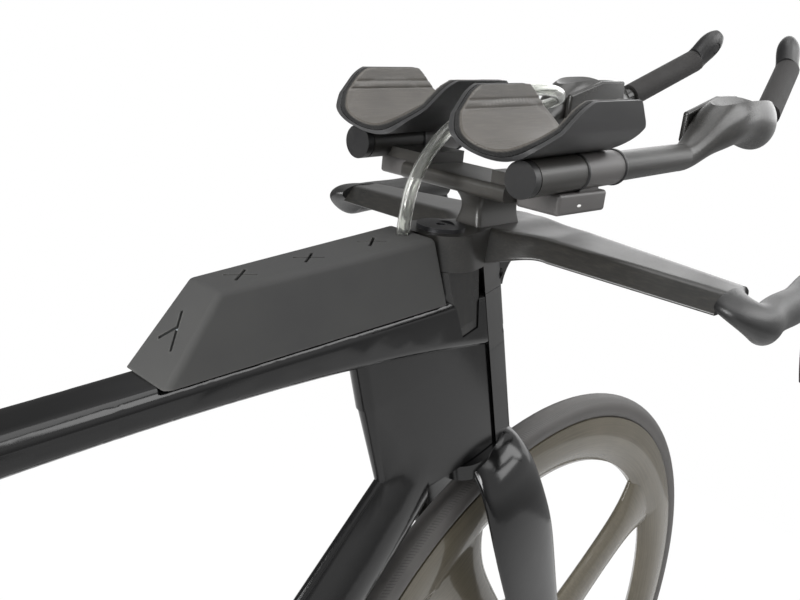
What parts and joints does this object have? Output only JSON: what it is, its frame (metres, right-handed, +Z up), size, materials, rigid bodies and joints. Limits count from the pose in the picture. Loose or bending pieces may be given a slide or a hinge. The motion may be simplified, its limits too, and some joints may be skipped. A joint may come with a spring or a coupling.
{
  "type": "time trial bike",
  "caption": "Time trial bike with a deep aero frame, base bar and extensions with arm cups, a storage box with a drink hose, a spoked front wheel and a disc rear wheel",
  "frame": {"origin": "on the ground, halfway between the axles, in the middle of the bike", "axes": "X points forward, Y to the rider's left, Z up"},
  "size_m": [1.672, 0.4358, 1.0384],
  "materials": {
    "carbon_gloss": "gloss black paint over carbon",
    "carbon_satin": "satin black carbon",
    "soft_box": "matte soft grey-black",
    "hood_rubber": "matte black rubber",
    "grip_tape": "matte brown-black",
    "arm_foam": "brushed grey foam",
    "clear_hose": "clear",
    "black_metal": "satin black",
    "steel": "brushed",
    "alloy": "fine turned",
    "black_plastic": "matte",
    "rim_carbon": "clear-coated carbon",
    "tyre": "matte",
    "saddle_cover": "smooth black cover",
    "bladder": "soft"
  },
  "bodies": {
    "frame": {"frame_front_triangle": "carbon_gloss", "frame_rear_triangle": "carbon_gloss", "headset_bearings": "steel", "bottom_bracket_bearings": "steel", "box_base": "black_plastic", "box_cover": "soft_box", "drink_bladder": "bladder", "box_bolts": "steel", "drink_hose": "clear_hose", "seatpost_wedge": "black_metal", "rear_caliper": "black_metal", "chain": "steel", "derailleur_body": "black_metal", "derailleur_cage": "black_plastic", "rear_axle": "black_metal"},
    "seatpost": {"seatpost": "carbon_gloss", "saddle_clamp": "black_metal", "saddle_rails": "alloy", "saddle_shell": "black_plastic", "saddle_pad": "saddle_cover"},
    "steering": {"fork": "carbon_gloss", "stack_spacers": "carbon_satin", "base_bar": "carbon_satin", "top_cap": "black_metal", "aero_riser": "carbon_satin", "arm_rest_bridge": "carbon_satin", "extensions": "carbon_satin", "extension_end_caps": "black_metal", "control_boxes": "black_plastic", "arm_cups": "black_plastic", "arm_pads": "arm_foam", "extension_grips": "grip_tape", "shifter_pods": "black_plastic", "hoods": "hood_rubber", "front_caliper": "black_metal", "front_axle": "black_metal", "cockpit_bolts": "steel", "hose_clip": "black_plastic", "bite_valve": "black_plastic"},
    "brake_lever_right": {"brake_lever_right": "black_metal"},
    "brake_lever_left": {"brake_lever_left": "black_metal"},
    "shift_button_right": {"shift_button_right": "black_plastic"},
    "shift_button_left": {"shift_button_left": "black_plastic"},
    "front_wheel": {"front_wheel": "rim_carbon", "front_tyre": "tyre", "front_hub": "black_metal", "front_rotor": "steel"},
    "rear_wheel": {"rear_wheel": "rim_carbon", "rear_tyre": "tyre", "rear_hub": "black_metal", "rear_rotor": "steel"},
    "cassette": {"cassette": "steel"},
    "crank": {"crank_right": "black_metal", "crank_left": "black_metal", "chainring": "black_metal", "pedal_axles": "steel"},
    "pedal_right": {"pedal_right": "black_plastic"},
    "pedal_left": {"pedal_left": "black_plastic"},
    "pulley_upper": {"pulley_upper": "black_plastic"},
    "pulley_lower": {"pulley_lower": "black_plastic"}
  },
  "joints": [
    {"name": "steering", "type": "hinge", "parent": "frame", "child": "steering", "pos_m": [0.45237, 0, 0.336], "axis": [-0.2957, 0, 0.9553], "range_deg": [-20, 20], "deforming": ["drink_hose"]},
    {"name": "front_wheel_spin", "type": "hinge", "parent": "steering", "child": "front_wheel", "pos_m": [0.5, 0, 0.336], "axis": [0, 1, 0], "continuous": true},
    {"name": "rear_wheel_spin", "type": "hinge", "parent": "frame", "child": "rear_wheel", "pos_m": [-0.5, 0, 0.336], "axis": [0, 1, 0], "continuous": true},
    {"name": "seatpost_slide", "type": "slide", "parent": "frame", "child": "seatpost", "axis": [-0.1994, 0, 0.9799], "range_m": [-0.03, 0.05]},
    {"name": "crank_spin", "type": "hinge", "parent": "frame", "child": "crank", "pos_m": [-0.09129, 0, 0.264], "axis": [0, 1, 0], "continuous": true},
    {"name": "pedal_right_spin", "type": "hinge", "parent": "crank", "child": "pedal_right", "pos_m": [0.07371, -0.097, 0.264], "axis": [0, 1, 0], "continuous": true},
    {"name": "pedal_left_spin", "type": "hinge", "parent": "crank", "child": "pedal_left", "pos_m": [-0.25629, 0.097, 0.264], "axis": [0, 1, 0], "continuous": true},
    {"name": "cassette_spin", "type": "hinge", "parent": "frame", "child": "cassette", "pos_m": [-0.5, -0.044, 0.336], "axis": [0, 1, 0], "continuous": true},
    {"name": "pulley_upper_spin", "type": "hinge", "parent": "frame", "child": "pulley_upper", "pos_m": [-0.484, -0.044, 0.258], "axis": [0, 1, 0], "continuous": true},
    {"name": "pulley_lower_spin", "type": "hinge", "parent": "frame", "child": "pulley_lower", "pos_m": [-0.47, -0.044, 0.194], "axis": [0, 1, 0], "continuous": true},
    {"name": "brake_lever_right_pull", "type": "hinge", "parent": "steering", "child": "brake_lever_right", "pos_m": [0.51077, -0.196, 0.84696], "axis": [0, 1, 0], "range_deg": [0, 15], "stiffness_Nm_per_rad": 0.6},
    {"name": "brake_lever_left_pull", "type": "hinge", "parent": "steering", "child": "brake_lever_left", "pos_m": [0.51077, 0.196, 0.84696], "axis": [0, 1, 0], "range_deg": [0, 15], "stiffness_Nm_per_rad": 0.6},
    {"name": "shift_button_right_press", "type": "slide", "parent": "steering", "child": "shift_button_right", "axis": [0.1951, -0.944, 0.266], "range_m": [0, 0.0015], "stiffness_N_per_m": 900},
    {"name": "shift_button_left_press", "type": "slide", "parent": "steering", "child": "shift_button_left", "axis": [0.1951, 0.944, 0.266], "range_m": [0, 0.0015], "stiffness_N_per_m": 900}
  ],
  "couplings": [
    {"joint": "cassette_spin", "follows": "crank_spin", "ratio": 3.1765},
    {"joint": "pulley_upper_spin", "follows": "crank_spin", "ratio": -4.5},
    {"joint": "pulley_lower_spin", "follows": "crank_spin", "ratio": 4.5}
  ]
}
